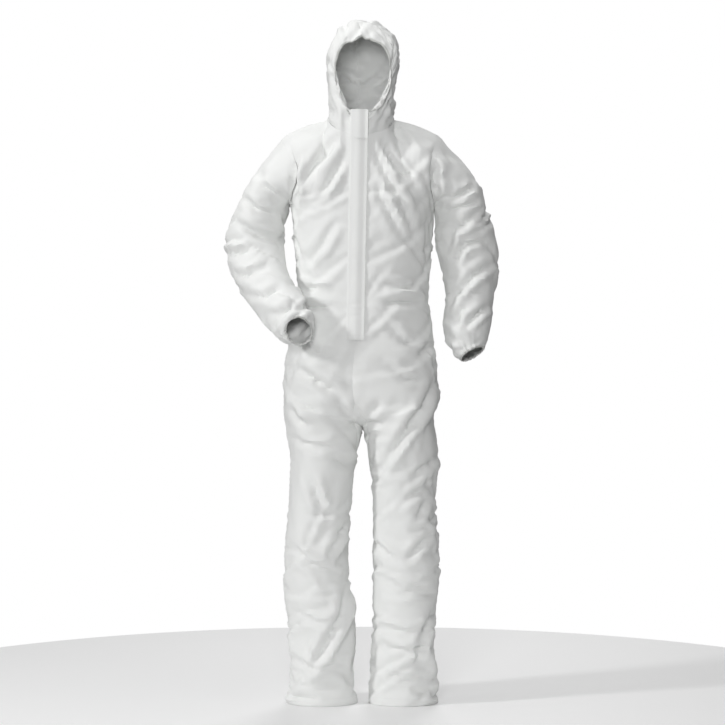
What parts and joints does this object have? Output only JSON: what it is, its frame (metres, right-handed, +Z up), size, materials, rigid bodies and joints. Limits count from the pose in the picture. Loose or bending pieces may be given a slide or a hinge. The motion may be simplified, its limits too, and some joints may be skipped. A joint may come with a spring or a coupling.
{
  "type": "hooded protective coverall",
  "caption": "Empty standing hooded coverall in white nonwoven fabric, with front zip, storm flap, chin flap and elastic cuffs.",
  "frame": {"origin": "middle of the suit's bounding box at floor level, on the plane of the two leg hems", "axes": "+Z up through the hood's crown, -Y the way the suit's front faces, +X to the wearer's left"},
  "size_m": [0.704, 0.3528, 1.7534],
  "materials": {
    "nonwoven_fabric": "matte nonwoven with a faint bonded dot pattern and soft creases",
    "elastic": "ribbed narrow elastic",
    "woven_tape": "plain woven tape",
    "zip_nylon": "satin moulded nylon",
    "release_paper": "smooth coated paper"
  },
  "bodies": {
    "suit_body": {"front_panel_right": "nonwoven_fabric", "back_panel_right": "nonwoven_fabric", "front_panel_left": "nonwoven_fabric", "back_panel_left": "nonwoven_fabric", "crotch_gusset": "nonwoven_fabric", "sleeve_right": "nonwoven_fabric", "cuff_elastic_right": "elastic", "sleeve_left": "nonwoven_fabric", "cuff_elastic_left": "elastic", "leg_hem_right": "nonwoven_fabric", "leg_hem_left": "nonwoven_fabric", "waist_elastic": "elastic", "hood_panel_right": "nonwoven_fabric", "hood_panel_left": "nonwoven_fabric", "hood_face_elastic": "elastic", "zip_tape_right": "woven_tape", "zip_coil_right": "zip_nylon", "zip_tape_left": "woven_tape", "zip_coil_left": "zip_nylon", "zip_bottom_stop": "zip_nylon", "zip_top_stop_right": "zip_nylon", "zip_top_stop_left": "zip_nylon", "neck_label": "woven_tape"},
    "zip_slider": {"zip_slider": "zip_nylon"},
    "zip_pull_tab": {"zip_pull_tab": "zip_nylon"},
    "storm_flap": {"storm_flap": "nonwoven_fabric", "storm_flap_adhesive": "release_paper"},
    "chin_flap": {"chin_flap": "nonwoven_fabric", "chin_flap_adhesive": "release_paper"}
  },
  "joints": [
    {"name": "storm_flap_opening", "type": "hinge", "parent": "suit_body", "child": "storm_flap", "pos_m": [-0.04118, -0.10875, 0.94048], "axis": [-0.0193, -0.0387, -0.9991], "range_deg": [0, 150]},
    {"name": "chin_flap_opening", "type": "hinge", "parent": "suit_body", "child": "chin_flap", "pos_m": [-0.04118, -0.10875, 0.94048], "axis": [-0.0193, -0.0387, -0.9991], "range_deg": [0, 150]},
    {"name": "zip_slider_travel", "type": "slide", "parent": "suit_body", "child": "zip_slider", "axis": [-0.0193, -0.0387, -0.9991], "range_m": [0, 0.53]},
    {"name": "zip_pull_tab_swing", "type": "hinge", "parent": "zip_slider", "child": "zip_pull_tab", "pos_m": [-0.00794, -0.08747, 1.48986], "axis": [-0.9998, 0.0007, 0.0193], "range_deg": [0, 90]}
  ],
  "couplings": [
    {"joint": "chin_flap_opening", "follows": "storm_flap_opening", "ratio": 1},
    {"joint": "zip_pull_tab_swing", "follows": "storm_flap_opening", "ratio": 0.6}
  ]
}
